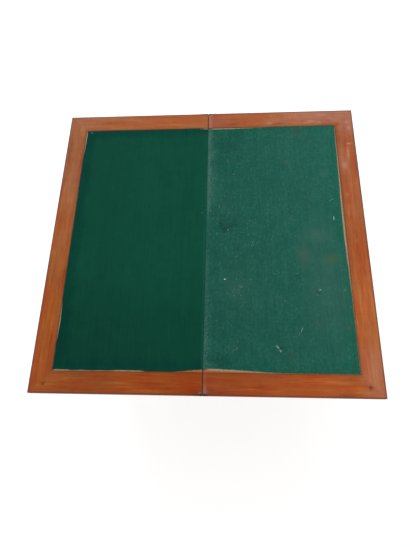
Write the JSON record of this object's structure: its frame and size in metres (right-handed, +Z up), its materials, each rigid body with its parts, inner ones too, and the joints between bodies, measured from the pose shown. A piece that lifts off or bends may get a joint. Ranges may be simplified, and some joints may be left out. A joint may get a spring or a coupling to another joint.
{
  "type": "games table",
  "caption": "Turn-over card table: baize-lined leaves with a mitred mahogany border hinge open on a swivel over a tapered-leg frame with a well.",
  "frame": {"origin": "on the floor, under the middle of the open top", "axes": "+Z up; +X across the seam of the open top, from the turning leaf towards the flap; +Y along the seam, away from the side the picture was taken from"},
  "size_m": [0.885, 0.8622, 0.743],
  "materials": {
    "mahogany": "red-brown polished mahogany, worn satin",
    "pine": "plain aged pine",
    "oak": "plain aged oak",
    "baize": "dark green napped wool baize, faded where exposed",
    "brass": "dark tarnished brass",
    "iron": "dark wrought iron"
  },
  "bodies": {
    "frame": {"leg_back_right": "mahogany", "leg_back_left": "mahogany", "leg_front_right": "mahogany", "leg_front_left": "mahogany", "back_rail": "mahogany", "front_rail": "mahogany", "right_end_rail": "mahogany", "left_end_rail": "mahogany", "back_bead": "mahogany", "front_bead": "mahogany", "right_bead": "mahogany", "left_bead": "mahogany", "pivot_bearer": "oak", "bearer_screws": "iron", "pivot_bush": "brass", "well_floor": "pine", "back_floor_fillet": "pine", "front_floor_fillet": "pine", "right_floor_fillet": "pine", "left_floor_fillet": "pine", "well_lining": "baize"},
    "fixed_leaf": {"fixed_core_panel": "pine", "fixed_side_stile": "mahogany", "fixed_far_rail": "mahogany", "fixed_near_rail": "mahogany", "fixed_seam_lipping": "mahogany", "fixed_far_mitre_tongue": "oak", "fixed_near_mitre_tongue": "oak", "fixed_baize": "baize", "locating_peg": "mahogany", "fixed_far_hinge_plate": "brass", "fixed_near_hinge_plate": "brass", "fixed_hinge_screws": "brass", "pivot_plate": "iron", "pivot_plate_screws": "iron", "pivot_bolt": "iron", "pivot_washer": "iron", "pivot_nut": "iron", "stop_peg": "oak"},
    "hinge_links": {"far_hinge_link": "brass", "near_hinge_link": "brass", "far_hinge_pins": "brass", "near_hinge_pins": "brass"},
    "flap": {"flap_core_panel": "pine", "flap_side_stile": "mahogany", "flap_far_rail": "mahogany", "flap_near_rail": "mahogany", "flap_seam_lipping": "mahogany", "flap_far_mitre_tongue": "oak", "flap_near_mitre_tongue": "oak", "flap_show_veneer": "mahogany", "flap_baize": "baize", "flap_far_hinge_plate": "brass", "flap_near_hinge_plate": "brass", "flap_hinge_screws": "brass"}
  },
  "joints": [
    {"name": "top_swivel", "type": "hinge", "parent": "frame", "child": "fixed_leaf", "pos_m": [-0.11075, 0.11075, 0.721], "axis": [0, 0, 1], "range_deg": [0, 90]},
    {"name": "link_turn", "type": "hinge", "parent": "fixed_leaf", "child": "hinge_links", "pos_m": [-0.0042, 0, 0.7364], "axis": [0, -1, 0], "range_deg": [0, 90]},
    {"name": "flap_fold", "type": "hinge", "parent": "hinge_links", "child": "flap", "pos_m": [0.0042, 0, 0.7364], "axis": [0, -1, 0], "range_deg": [0, 90]}
  ]
}
